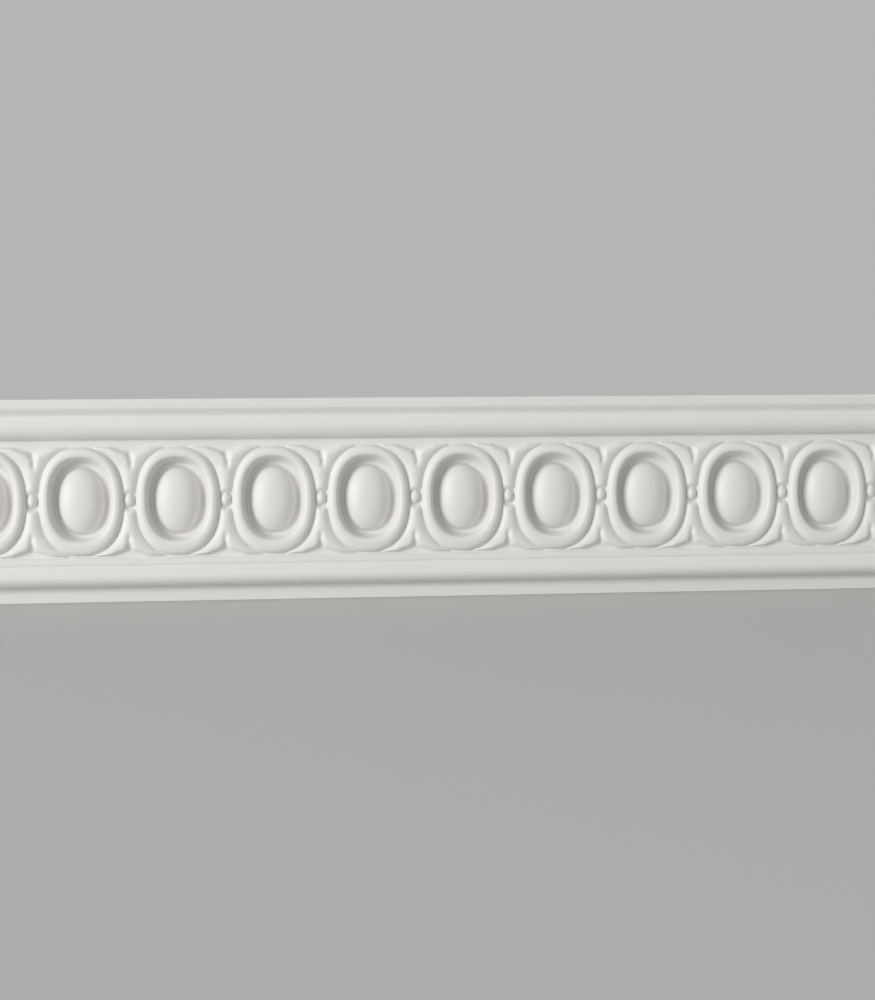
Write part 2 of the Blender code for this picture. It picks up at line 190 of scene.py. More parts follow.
def softened(points, spread):
    """The outline as a close row of points, each averaged with its neighbours; the two ends stay."""
    gone = np.concatenate([[0], np.cumsum(np.linalg.norm(np.diff(points, axis=0), axis=1))])
    walk = np.linspace(0, gone[-1], int(gone[-1] / WALK) + 1)
    weights = bell(spread, WALK)
    reach = len(weights) // 2
    columns = []
    for values in points.T:
        row = np.interp(walk, gone, values)
        row = np.concatenate([2 * row[0] - row[reach:0:-1], row, 2 * row[-1] - row[-2:-reach - 2:-1]])
        columns.append(np.convolve(row, weights, "valid"))
    return np.stack(columns, axis=1)


fine_outline = softened(outline(), ARRIS_SOFTENING)
print("the softened outline has", len(fine_outline), "points")
print("furthest off the wall:", round(fine_outline[:, 0].max(), 3), "mm")

# %% [markdown]
# The ovals.
# The ornament is a height over the sunk band, as it is to a carver working down from a flat board.
# An oval is a ring, rounded outside and lipped inside, then a steep wall down to a channel, and a
# domed boss. Sculpting could make it, but the same formulas as the solid's keep each edge where the
# solid has it. Every loop of it is an oval a little squarer than an ellipse, and the loops don't share
# one middle: the channel is wider above the boss than below it. So the height of a point follows from
# how far inside the ring's foot it lies, which is found by halving.

# %% The ovals' loops
HALVINGS = 30


def oval_size(inset):
    """Half width, half height, lift and fullness of the oval's loop at this inset."""
    tables = (OVAL_HALF_HEIGHTS, OVAL_LIFTS, OVAL_FULLNESSES)
    return [RING_HALF_WIDTH - inset] + [np.interp(inset, OVAL_INSETS, table) for table in tables]


def inside_loop(across, up, half_width, half_height, lift, fullness):
    """Below 1 inside the loop, 1 on it and more outside."""
    return (np.abs(across) / half_width) ** fullness + (np.abs(up - lift) / half_height) ** fullness


def oval_inset(across, up):
    """How far inside the ring's outer foot a point is."""
    low, high = np.zeros_like(across), np.full_like(across, BOSS_INSET)
    for _ in range(HALVINGS):
        middle = (low + high) / 2
        inside = inside_loop(across, up, *oval_size(middle)) < 1
        low, high = np.where(inside, middle, low), np.where(inside, high, middle)
    return low


half_way = [round(float(size), 2) for size in oval_size(BOSS_INSET / 2)]
print("half way in, a loop's half width, half height, lift and fullness:", half_way)

# %% Heights inside an oval
def ring_section():
    """The ring and channel in section: insets and heights."""
    rise = np.linspace(0, 1, CURVE_STEPS + 1)
    outer = RING_RISE * np.sqrt(1 - (1 - rise) ** RING_ROUNDNESS)
    inner = RING_RISE - (RING_RISE - RING_LIP_RISE) * rise ** 2
    insets = [rise * RING_CROWN, RING_CROWN + rise[1:] * (RING_WIDTH - RING_CROWN)]
    heights = [outer, inner[1:]]
    insets.append([RING_WIDTH + CHANNEL_WALL_RUN, BOSS_INSET])
    heights.append([-CHANNEL_DEPTH, -CHANNEL_DEPTH])
    return np.concatenate(insets), np.concatenate(heights)


def oval_height(across, up):
    """Height over the band inside the ring's outer foot."""
    height = np.interp(oval_inset(across, up), *ring_section())
    half_width, half_height, lift, fullness = oval_size(BOSS_INSET)
    away = inside_loop(across, up, half_width, half_height, lift, fullness) ** (1 / fullness)
    dome = BOSS_RISE * np.sqrt(np.clip(1 - away ** DOME_FLATNESS, 0, 1)) - CHANNEL_DEPTH
    return np.where(away < 1, dome, height)


middle_height = oval_height(np.array([0.0]), np.array([OVAL_LIFTS[2]]))[0]
print("the boss's top is", round(float(middle_height), 2), "mm over the band, the ring's", RING_RISE)

# %% [markdown]
# The husks.
# Between two ovals a stem rises from the bead and opens into two leaves, and the same hangs below it.
# Each leaf lies along its ring, as a real leaf would lie along a stone: it rises from the ring's foot
# to a ridge, and falls to its free edge. Drawing each leaf as a surface patch would leave gaps at the
# ring. So a point's place is told by the angle on the ring that it lies straight out from, and by how
# far out it is, and a leaf can't come loose from its ring.

# %% Places round the ring's foot
def ring_foot(angle):
    """The point of the ring's outer foot at this angle of its first quarter, and the way out from it."""
    half_width, half_height, _, fullness = oval_size(0.0)
    foot_x = half_width * np.cos(angle) ** (2 / fullness)
    foot_y = half_height * np.sin(angle) ** (2 / fullness)
    out_x = foot_x ** (fullness - 1) / half_width ** fullness
    out_y = foot_y ** (fullness - 1) / half_height ** fullness
    size = np.hypot(out_x, out_y)
    return foot_x, foot_y, out_x / size, out_y / size


def nearest_angle(across, up):
    """The ring's angle whose way out passes through this point."""
    low, high = np.zeros_like(across), np.full_like(across, math.pi / 2)
    for _ in range(HALVINGS):
        middle = (low + high) / 2
        foot_x, foot_y, out_x, out_y = ring_foot(middle)
        past = out_x * (up - foot_y) - out_y * (across - foot_x) > 0
        low, high = np.where(past, middle, low), np.where(past, high, middle)
    return low


beside = nearest_angle(np.array([PITCH / 2]), np.array([HUSK_END]))[0]
print("the husk's end lies out from the ring at", round(math.degrees(beside), 1), "degrees")

# %% How far a leaf opens
LEAST_PART = 0.001


def leaf_swell(angle, power):
    """How far the leaf has opened: quickly from 0 at its root to 1, and slowly back to 0 at its tip."""
    share = np.clip((np.degrees(angle) - LEAF_ROOT_DEG) / (LEAF_TIP_DEG - LEAF_ROOT_DEG), 0, 1)
    root = np.sqrt(np.clip(share / LEAF_ROOT_SHARE, 0, 1))
    return root * np.sin(math.pi * np.maximum(share, 0.5)) ** power


def leaf_section(angle):
    """How far out the leaf reaches at this angle, where its ridge runs, and how far it is joined."""
    foot_x, foot_y, out_x, out_y = ring_foot(angle)
    off_axis = PITCH / 2 - foot_x
    to_axis = off_axis / np.maximum(out_x, LEAST_PART)
    to_end = (HUSK_END - foot_y + HUSK_FLARE * off_axis) / (out_y + HUSK_FLARE * out_x)
    to_top = (LEAF_TOP - foot_y) / np.maximum(out_y, LEAST_PART)
    spread = np.minimum(LEAF_WIDTH * leaf_swell(angle, LEAF_FULLNESS), np.minimum(to_end, to_top))
    joined = np.clip((spread / to_axis - 1) / (LEAF_PARTING - 1), 0, 1)
    return np.minimum(spread, to_axis), LEAF_RIDGE_SHARE + (1 - LEAF_RIDGE_SHARE) * joined, joined


widest = leaf_section(np.radians(np.arange(LEAF_ROOT_DEG, LEAF_TIP_DEG)))[0].max()
print("a leaf reaches", round(float(widest), 2), "mm out from its ring where it is widest")

# %% Heights of the leaves
def leaf_height(across, up):
    """Height of the leaf: up to its ridge, then down to its free edge."""
    angle = nearest_angle(across, up)
    reach, ridge_share, joined = leaf_section(angle)
    foot_x, foot_y, out_x, out_y = ring_foot(angle)
    out = (across - foot_x) * out_x + (up - foot_y) * out_y
    share = out / np.maximum(reach, LEAST_PART)
    rising = np.sqrt(1 - (1 - np.clip(share / ridge_share, 0, 1)) ** 2)
    beyond = np.clip((share - ridge_share) / np.maximum(1 - ridge_share, LEAST_PART), 0, 1)
    falling = np.cos(math.pi / 2 * (1 - joined) * beyond)
    height = LEAF_RISE * leaf_swell(angle, LEAF_TAPER) * np.where(share <= ridge_share, rising, falling)
    return np.where((share > 0) & (share <= 1 + LEAST_PART), height, 0)


shoulder = leaf_height(np.array([PITCH / 2 - 1]), np.array([HUSK_END - 1]))[0]
print("near its end the leaf is", round(float(shoulder), 2), "mm over the band")

# %% Heights of the groove and the bead, and of the whole band
def eased(share):
    """From 0 to 1 with a level start and end."""
    return share * share * (3 - 2 * share)


def groove_share(past_axis, up):
    """How much of the husk's height is left by the groove that parts its leaves; it leans a little."""
    begun = np.clip((np.abs(up) - GROOVE_START) / GROOVE_RUN, 0, 1)
    off = np.abs(past_axis - GROOVE_OFFSET - GROOVE_LEAN * up)
    away = np.clip(off / GROOVE_HALF_WIDTH, 0, 1)
    return 1 - GROOVE_DEPTH_SHARE * eased(begun) * (1 - away) ** 2


def band_height(across, up):
    """Height over the band anywhere in one repeat; only the grooves lean."""
    past_axis = across - np.copysign(PITCH / 2, across)
    husk = leaf_height(np.abs(across), np.abs(up)) * groove_share(past_axis, up)
    away = np.hypot(past_axis / BEAD_HALF_WIDTH, (up - BEAD_LIFT) / BEAD_HALF_HEIGHT)
    bead = BEAD_RISE * np.sqrt(np.clip(1 - away ** DOME_FLATNESS, 0, 1))
    inside = inside_loop(across, up, *oval_size(0.0)) < 1
    return np.where(inside, oval_height(across, up), np.maximum(husk, bead))


bead_top = band_height(np.array([PITCH / 2]), np.array([BEAD_LIFT]))[0]
print("the bead's top is", round(float(bead_top), 2), "mm over the band")

# %% [markdown]
# Softening the relief.
# Crisp formulas look machined. On the cast the creases hold a little plaster and paint and the crests
# are worn, so the heights are laid out on a grid a tenth of a millimetre wide and blurred by a
# fraction of a millimetre. The mesh then reads its heights from that grid.

# %% The grid of heights
GRID = 0.1
RELIEF_SOFTENING = 0.15
EDGE_STRIP = 0.2
CHART_HEAD, CHART_FOOT = HEAD_REACH - EDGE_STRIP, FOOT_REACH - EDGE_STRIP

grid_x = np.linspace(-PITCH / 2, PITCH / 2, round(PITCH / GRID) + 1)
grid_y = np.linspace(-FOOT_REACH, HEAD_REACH, round(PANEL_HEIGHT / GRID) + 1)


def blurred(heights, spread):
    """The grid blurred both ways. It runs on past the beads' axes, into the next repeat."""
    weights = bell(spread, GRID)
    reach = len(weights) // 2
    wide = np.concatenate([heights[:, -reach - 1:-1], heights, heights[:, 1:reach + 1]], axis=1)
    wide = np.apply_along_axis(np.convolve, 1, wide, weights, "valid")
    tall = np.pad(wide, ((reach, reach), (0, 0)), mode="edge")
    return np.apply_along_axis(np.convolve, 0, tall, weights, "valid")


height_grid = blurred(band_height(*np.meshgrid(grid_x, grid_y)), RELIEF_SOFTENING)
margin = np.clip(np.minimum(CHART_HEAD - grid_y, CHART_FOOT + grid_y) / EDGE_STRIP, 0, 1)
height_grid *= eased(margin)[:, None]
print("grid:", height_grid.shape[1], "by", height_grid.shape[0], "heights")

# %% Read a height from the grid
def relief(across, up):
    """Softened height at any point, read between the grid's points; both axes read the same."""
    on_axis = np.isclose(across, PITCH / 2)
    last_row, last_column = np.array(height_grid.shape) - 1 - LEAST_PART
    column = np.where(on_axis, 0, np.clip((across + PITCH / 2) / GRID, 0, last_column))
    row = np.clip((up + FOOT_REACH) / GRID, 0, last_row)
    i, j = row.astype(int), column.astype(int)
    down, right = row - i, column - j
    upper = height_grid[i, j] * (1 - right) + height_grid[i, j + 1] * right
    lower = height_grid[i + 1, j] * (1 - right) + height_grid[i + 1, j + 1] * right
    return upper * (1 - down) + lower * down


print("relief from", round(height_grid.min(), 2), "to", round(height_grid.max(), 2), "mm over the band")

# %% [markdown]
# A chart of points for one repeat.
# Points are laid where the form turns: close loops round the ring, the channel's wall and the boss,
# lines along the leaves' ridges and edges and round the bead, and an even spread between them. A
# triangulation that keeps those lines joins them up. A plain grid would step along every curve.

# %% A chart, and the loops of the oval
RING_SIDES, WALL_SIDES, BOSS_SIDES = 172, 140, 33
FEWEST_SIDES = 12
RING_INSETS = (-0.15, 0.0, 0.15, 0.35, 0.62, 0.95, 1.35, 1.8, 2.3, 2.8, 3.1, 3.3, 3.45)
WALL_INSETS = (3.6, 3.9, 4.25, 4.6, 4.8, 4.95, 5.1, 5.4, 5.8, 6.15, 6.35)
BOSS_SHARES = (0.995, 0.975, 0.945, 0.9, 0.84, 0.76, 0.66, 0.54, 0.4, 0.25, 0.1)


class Chart:
    """Points laid out flat, and the lines between them that the triangles keep."""

    def __init__(self):
        self.places = []
        self.lines = []

    def line(self, points, closed=False):
        first = len(self.places)
        self.places += [tuple(point) for point in points]
        marks = list(range(first, len(self.places)))
        self.lines += list(zip(marks, marks[1:]))
        if closed:
            self.lines.append((marks[-1], marks[0]))


def loop(sizes, sides, turn, share=1.0):
    """Points of a loop, or of a smaller one inside it; turn staggers them against the next one's."""
    half_width, half_height, lift, fullness = sizes
    angle = 2 * math.pi * (np.arange(sides) + turn / 2) / sides
    across = np.copysign(np.abs(np.cos(angle)) ** (2 / fullness), np.cos(angle))
    up = np.copysign(np.abs(np.sin(angle)) ** (2 / fullness), np.sin(angle))
    return np.stack([half_width * share * across, lift + half_height * share * up], axis=1)


def oval_loops(chart):
    """The loops of the ring, the channel and the boss; fours of sides keep them even both ways."""
    for turn, inset in enumerate(RING_INSETS):
        chart.line(loop(oval_size(inset), RING_SIDES, turn % 2), closed=True)
    for turn, inset in enumerate(WALL_INSETS):
        chart.line(loop(oval_size(inset), WALL_SIDES, turn % 2), closed=True)
    for turn, share in enumerate(BOSS_SHARES):
        sides = max(FEWEST_SIDES, 4 * round(BOSS_SIDES * share))
        chart.line(loop(oval_size(BOSS_INSET), sides, turn % 2, share), closed=True)
    chart.places.append((0.0, OVAL_LIFTS[2]))


print("loops in an oval:", len(RING_INSETS) + len(WALL_INSETS) + len(BOSS_SHARES))

# %% Lines along the leaves and the bead
LEAF_LINE_POINTS, BEAD_LINE_POINTS = 66, 17
ROOT_TRIM_DEG, TIP_TRIM_DEG = 3, 1
BEAD_SHARES = (1.0, 0.85)


def leaf_lines():
    """Lines of the husk in the corner where both coordinates are positive: its ridge and its edge."""
    first, last = LEAF_ROOT_DEG + ROOT_TRIM_DEG, LEAF_TIP_DEG - TIP_TRIM_DEG
    angle = np.radians(np.linspace(first, last, LEAF_LINE_POINTS))
    reach, ridge_share, _ = leaf_section(angle)
    foot_x, foot_y, out_x, out_y = ring_foot(angle)
    reaches = (reach * ridge_share, reach)
    return [np.stack([foot_x + out_x * gone, foot_y + out_y * gone], axis=1) for gone in reaches]


def bead_lines():
    """Lines round the left half of the bead on the right axis: its foot and one on its dome."""
    turn = np.linspace(0, math.pi, BEAD_LINE_POINTS)
    across, up = BEAD_HALF_WIDTH * np.sin(turn), BEAD_HALF_HEIGHT * np.cos(turn)
    return [np.stack([PITCH / 2 - share * across, BEAD_LIFT + share * up], axis=1) for share in BEAD_SHARES]


print("points on a ridge before trimming:", len(leaf_lines()[0]), "and round a bead:", len(bead_lines()[0]))

# %% An even spread between the lines
SPREAD = 0.45
ROW_SHARE = 0.866
FIRST_COLUMN = 0.1
CLEAR, LINE_CLEAR = 0.17, 0.26


def inside_band(points):
    """Which points lie clear of the ring's first loop, the repeat's sides and the band's borders."""
    half_width, half_height, lift, fullness = oval_size(0.0)
    room = CLEAR - RING_INSETS[0]
    sizes = (half_width + room, half_height + room, lift, fullness)
    clear = inside_loop(points[:, 0], points[:, 1], *sizes) > 1
    clear &= np.abs(points[:, 0]) < PITCH / 2 - CLEAR
    return clear & (points[:, 1] < CHART_HEAD - CLEAR) & (points[:, 1] > CLEAR - CHART_FOOT)


def even_spread():
    """An even spread of points over the right half of the band."""
    rows = np.arange(-CHART_FOOT, CHART_HEAD, SPREAD * ROW_SHARE)
    columns = np.arange(FIRST_COLUMN, PITCH / 2, SPREAD)
    points = np.array([(x + SPREAD / 2 * (n % 2), y) for n, y in enumerate(rows) for x in columns])
    return points[inside_band(points)]


print("points spread over half a repeat:", len(even_spread()))

# %% Triangulate the chart
SIDE_STEP = 0.35
BORDER_COLUMNS = 60
SAME_PLACE = 0.00001


def chart_of_one_repeat():
    """Places and triangles of one repeat, from the axis of one bead to the axis of the next."""
    chart = Chart()
    levels = np.linspace(-CHART_FOOT, CHART_HEAD, round((CHART_HEAD + CHART_FOOT) / SIDE_STEP) + 1)
    columns = np.linspace(-PITCH / 2, PITCH / 2, BORDER_COLUMNS + 1)
    for side in (-1, 1):
        chart.line([(side * PITCH / 2, y) for y in levels])
    for level in (-CHART_FOOT, CHART_HEAD):
        chart.line([(x, level) for x in columns[1:-1]])
    oval_loops(chart)
    lines = bead_lines()
    for line in leaf_lines():
        lines += [line, line * (1, -1)]
    lines = [line[inside_band(line)] for line in lines]
    spread = even_spread()
    for line in lines:
        away = np.linalg.norm(spread[:, None] - line[None], axis=2).min(axis=1)
        spread = spread[away > LINE_CLEAR]
    for side in (-1, 1):
        for line in lines:
            chart.line(line * (side, 1))
        chart.places += [tuple(point) for point in spread * (side, 1)]
    flat = [Vector(place) for place in chart.places]
    places, _, faces, _, _, _ = delaunay_2d_cdt(flat, chart.lines, [], 0, SAME_PLACE)
    return np.array([tuple(place) for place in places]), np.array(faces)


chart_places, chart_faces = chart_of_one_repeat()
print("one repeat:", len(chart_places), "points,", len(chart_faces), "triangles")

# %% [markdown]
# The mouldings' lines.
# Along the rail the mouldings are straight, so they need few columns. Across it they need a line
# wherever the outline turns. A walk along the outline keeps a point each time it has turned six
# degrees or gone two and a half millimetres.

# %% Choose the lines that carry the mouldings
TURN_DEG = 6.0
LONGEST = 2.5
BORDER_EDGE, BORDER_GAP = 0.1, 0.02


def chosen(points):
    """The outline's first and last points, and those between at which it has turned enough."""
    way = np.diff(points, axis=0)
    heading = np.unwrap(np.arctan2(way[:, 1], way[:, 0]))
    kept = [0]
    for i in range(1, len(points) - 1):
        turned = abs(heading[i] - heading[kept[-1]]) > math.radians(TURN_DEG)
        if turned or np.linalg.norm(points[i] - points[kept[-1]]) > LONGEST:
            kept.append(i)
    return points[kept + [len(points) - 1]]


def band_face(level):
    """How far the softened outline stands off the wall at a level within the band."""
    levels = fine_outline[:, 1]
    head, foot = PANEL_HEAD - BORDER_EDGE, PANEL_HEAD - PANEL_HEIGHT + BORDER_EDGE
    inner = fine_outline[(levels < head) & (levels > foot)]
    inner = inner[np.argsort(inner[:, 1])]
    return np.interp(level, inner[:, 1], inner[:, 0])


chart_head, chart_foot = ORNAMENT_MIDDLE + CHART_HEAD, ORNAMENT_MIDDLE - CHART_FOOT
above = chosen(fine_outline[fine_outline[:, 1] > chart_head + BORDER_GAP])
below = chosen(fine_outline[fine_outline[:, 1] < chart_foot - BORDER_GAP])
print("lines above the band:", len(above), "and below it:", len(below))

# %% [markdown]
# Building the casting.
# The repeats and the mouldings are joined into one closed mesh, with the corners shared wherever two
# faces meet: one casting is one object. An array modifier could repeat the ornament, but the seams
# would have to be welded, and here each corner is simply numbered once. The flat back is struck off
# level with the mould, and the two ends are sawn square. A slow, very slight unevenness, always
# inwards so that the rail never grows, takes the last of the machine look off it.

# %% A mesh whose corners are shared
SAME_CORNER = 0.002
PAINTED, SAWN, STRUCK_OFF = 0, 1, 2


class Casting:
    """Corners and faces, in millimetres; corners that coincide become one at the end."""

    def __init__(self):
        self.corners = []
        self.faces = []
        self.finishes = []
        self.count = 0

    def add(self, corners, faces, finish=PAINTED):
        self.corners.append(np.asarray(corners, float))
        self.faces += [[self.count + i for i in face] for face in faces]
        self.finishes += [finish] * len(faces)
        self.count += len(corners)

    def joined(self):
        """All corners, each one once, and the faces that use them."""
        corners = np.concatenate(self.corners)
        rounded = np.round(corners / SAME_CORNER).astype(int)
        _, first, number = np.unique(rounded, axis=0, return_index=True, return_inverse=True)
        number = number.reshape(-1)
        return corners[first], [[int(number[i]) for i in face] for face in self.faces]


casting = Casting()
print("corners closer than", SAME_CORNER, "mm become one")

# %% Strips that run along the rail
COLUMNS = 6


def lines_along(casting, lines, stations, finish=PAINTED):
    """Flats between each two neighbouring lines of (face, level), with a corner at each station."""
    corners = [(x, -face, level) for face, level in lines for x in stations]
    n = len(stations)
    faces = [
        (row * n + i, (row + 1) * n + i, (row + 1) * n + i + 1, row * n + i + 1)
        for row in range(len(lines) - 1) for i in range(n - 1)
    ]
    casting.add(corners, faces, finish)


def border_strip(casting, line, level, stations):
    """Joins a moulding's line, with few corners, to the band's border, with many."""
    fine = BORDER_COLUMNS // COLUMNS
    for start, end in zip(stations, stations[1:]):
        border = [(x, -float(band_face(level)), level) for x in np.linspace(start, end, fine + 1)]
        corners = [(start, -line[0], line[1]), (end, -line[0], line[1])] + border
        faces = [(0 if i < fine / 2 else 1, 2 + i, 3 + i) for i in range(fine)]
        faces.append((0, 2 + fine // 2, 1))
        casting.add(corners, faces)


half_length = REPEATS * PITCH / 2
stations = np.linspace(-half_length, half_length, REPEATS * COLUMNS + 1)
print("stations along the rail:", len(stations), "each", round(PITCH / COLUMNS, 2), "mm from the next")

# %% Join the repeats and the mouldings
lines_along(casting, above, stations)
lines_along(casting, below, stations)
border_strip(casting, above[-1], chart_head, stations)
border_strip(casting, below[0], chart_foot, stations)
chart_levels = ORNAMENT_MIDDLE + chart_places[:, 1]
chart_heights = band_face(chart_levels) + relief(chart_places[:, 0], chart_places[:, 1])
for repeat in range(REPEATS):
    middle = PITCH * (repeat + 0.5) - half_length
    places = np.stack([middle + chart_places[:, 0], -chart_heights, chart_levels], axis=1)
    casting.add(places, chart_faces.tolist())
lines_along(casting, [below[-1], above[0]], stations, finish=STRUCK_OFF)
print("loose corners:", casting.count, "faces:", len(casting.faces))

# %% Close the ends and number the corners
UNEVEN_DEPTH = 0.06
UNEVEN_LENGTH = 9.0
NEAR_BACK = 1.0


def end_face(casting, x):
    """The sawn end: the whole profile as one flat face."""
    side = np.isclose(chart_places[:, 0], -PITCH / 2)
    order = np.argsort(-chart_levels[side])
    band = np.stack([chart_heights[side][order], chart_levels[side][order]], axis=1)
    ring = np.concatenate([above, band, below])
    casting.add([(x, -face, level) for face, level in ring], [tuple(range(len(ring)))], finish=SAWN)


end_face(casting, -half_length)
end_face(casting, half_length)
corners, faces = casting.joined()
wave = np.array([noise.noise(Vector(corner) / UNEVEN_LENGTH) for corner in corners])
corners[:, 1] += np.where(corners[:, 1] < -NEAR_BACK, UNEVEN_DEPTH * np.clip(0.5 + wave, 0, 1), 0)

mesh = bpy.data.meshes.new("plaster_rail")
mesh.from_pydata((corners * MM).tolist(), [], faces)
mesh.polygons.foreach_set("material_index", casting.finishes)
mesh.validate()
print("corners:", len(mesh.vertices), "faces:", len(mesh.polygons))

# %% Turn every face outward and shade it smooth
import bmesh

ARRIS_DEG = 42.0
work = bmesh.new()
work.from_mesh(mesh)
bmesh.ops.recalc_face_normals(work, faces=work.faces)
print("open edges:", sum(edge.is_boundary for edge in work.edges))
print("odd edges:", sum(not edge.is_manifold for edge in work.edges))
print("volume in cubic cm:", round(work.calc_volume(signed=True) * 1e6, 1))
work.to_mesh(mesh)
work.free()
mesh.shade_smooth()
mesh.set_sharp_from_angle(angle=math.radians(ARRIS_DEG))
rail = bpy.data.objects.new("plaster_rail", mesh)
bpy.context.scene.collection.objects.link(rail)
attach(rail, "root")
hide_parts("dado_rail")

# %% [markdown]
# The finishes.
# Gypsum plaster comes out of the mould a flat, chalky white. What was done to it since differs: the
# face is painted, the ends are sawn, and the back was struck off level with the mould.
# Painting pictures on the mesh would need seams, and would blur close up. Each finish here is a
# Principled shader with procedural nodes that read the object's own coordinates, so every pattern has
# a real size in millimetres and runs on unbroken round each arris.

# %% Two helpers for colour and nodes
def linear(hex_colour):
    """An sRGB hex colour as linear red, green, blue and alpha."""
    parts = [int(hex_colour[i:i + 2], 16) / 255 for i in (1, 3, 5)]
    return tuple(c / 12.92 if c <= 0.04045 else ((c + 0.055) / 1.055) ** 2.4 for c in parts) + (1.0,)


def add_node(tree, kind, settings=None, **sockets):
    """One node with its settings; a socket is given a value, or another node's output to link to it.

    A socket goes by its name with _ for each space, or by i and its number where a name is used twice.
    """
    node = tree.nodes.new(kind)
    for name, value in (settings or {}).items():
        setattr(node, name, value)
    for name, value in sockets.items():
        by_number = name[0] == "i" and name[1:].isdigit()
        socket = node.inputs[int(name[1:]) if by_number else name.replace("_", " ")]
        if isinstance(value, bpy.types.NodeSocket):
            tree.links.new(value, socket)
        else:
            socket.default_value = value
    return node


def start_material(name):
    """A new material's node tree, its shader and the object's own coordinates."""
    material = bpy.data.materials.new(name)
    material.use_nodes = True
    tree = material.node_tree
    place = add_node(tree, "ShaderNodeTexCoord").outputs["Object"]
    return material, tree, tree.nodes["Principled BSDF"], place


print("mid grey #808080 is", round(linear("#808080")[0], 3), "in linear light")

# %% [markdown]
# Eggshell paint.
# The face was sealed and painted in a water-based eggshell. To the eye that is a soft, broad light on
# every crest and never a mirror. The creases are painted darker and warmer: painted shade.
# The creases are found by pointiness, which needs the mesh to have the relief, as this one has.
# Real stipple is about 0.3 mm across. It is drawn at 0.9 mm, as coarse as it needs to be to show.
# A few pinholes, where air sat against the mould, stay open under the paint.

# %% Eggshell paint on cast plaster
# The first two are the paint's own tones; the third is painted shade for the creases.
PAINT_LIGHT, PAINT_DEEP, PAINTED_CREASE_SHADE = "#ECEBE7", "#E7E6E1", "#DAD7CC"
PAINT_IOR = 1.5


def painted_plaster():
    """The face: white eggshell. Paint binders have an IOR of 1.5; eggshell's roughness is about a half."""
    material, tree, shader, place = start_material("eggshell_painted_plaster")
    cloud = add_node(tree, "ShaderNodeTexNoise", Vector=place, Scale=1 / (45 * MM), Detail=3.0)
    body = add_node(
        tree, "ShaderNodeMix", {"data_type": "RGBA"},
        Factor=cloud.outputs["Fac"], i6=linear(PAINT_LIGHT), i7=linear(PAINT_DEEP),
    )
    # Painted shade: the creases are painted a darker, warmer white, where shade falls.
    crease_shade = add_node(
        tree, "ShaderNodeMapRange", Value=add_node(tree, "ShaderNodeNewGeometry").outputs["Pointiness"],
        From_Min=0.47, From_Max=0.40, To_Min=0.0, To_Max=0.75,
    )
    colour = add_node(
        tree, "ShaderNodeMix", {"data_type": "RGBA"},
        Factor=crease_shade.outputs["Result"], i6=body.outputs[2], i7=linear(PAINTED_CREASE_SHADE),
    )
    tree.links.new(colour.outputs[2], shader.inputs["Base Color"])
    sheen = add_node(tree, "ShaderNodeTexNoise", Vector=place, Scale=1 / (12 * MM), Detail=2.0)
    gloss = add_node(tree, "ShaderNodeMapRange", Value=sheen.outputs["Fac"], To_Min=0.42, To_Max=0.56)
    tree.links.new(gloss.outputs["Result"], shader.inputs["Roughness"])
    stipple = add_node(tree, "ShaderNodeTexNoise", Vector=place, Scale=1 / (0.9 * MM), Detail=2.0)
    paint = add_node(
        tree, "ShaderNodeBump", Height=stipple.outputs["Fac"], Strength=0.35, Distance=0.03 * MM,
    )
    pits = add_node(tree, "ShaderNodeTexVoronoi", Vector=place, Scale=1 / (6 * MM))
    pit = add_node(
        tree, "ShaderNodeMapRange", Value=pits.outputs["Distance"],
        From_Min=0.02, From_Max=0.045, To_Min=0.0, To_Max=1.0,
    )
    holes = add_node(
        tree, "ShaderNodeBump", Height=pit.outputs["Result"], Normal=paint.outputs["Normal"],
        Strength=0.7, Distance=0.12 * MM,
    )
    tree.links.new(holes.outputs["Normal"], shader.inputs["Normal"])
    shader.inputs["IOR"].default_value = PAINT_IOR
    return material


face_finish = painted_plaster()
print("nodes in the paint:", len(face_finish.node_tree.nodes))

# %% [markdown]
# Sawn plaster.
# The ends are bare, as a fine saw left them. To the eye that is chalky and dull with no highlight: a
# powdery grain, slightly wavering marks, and bubbles cut open. Gypsum's crystals have an IOR of 1.52.
# A saw leaves a mark about every millimetre. Single ones would not show, so the marks here are bands
# several millimetres wide.

# %% Bare plaster, sawn
SAWN_LIGHT, SAWN_DEEP = "#F0EEE8", "#DDDAD0"
GYPSUM_IOR = 1.52
SAWN_ROUGHNESS = 0.88


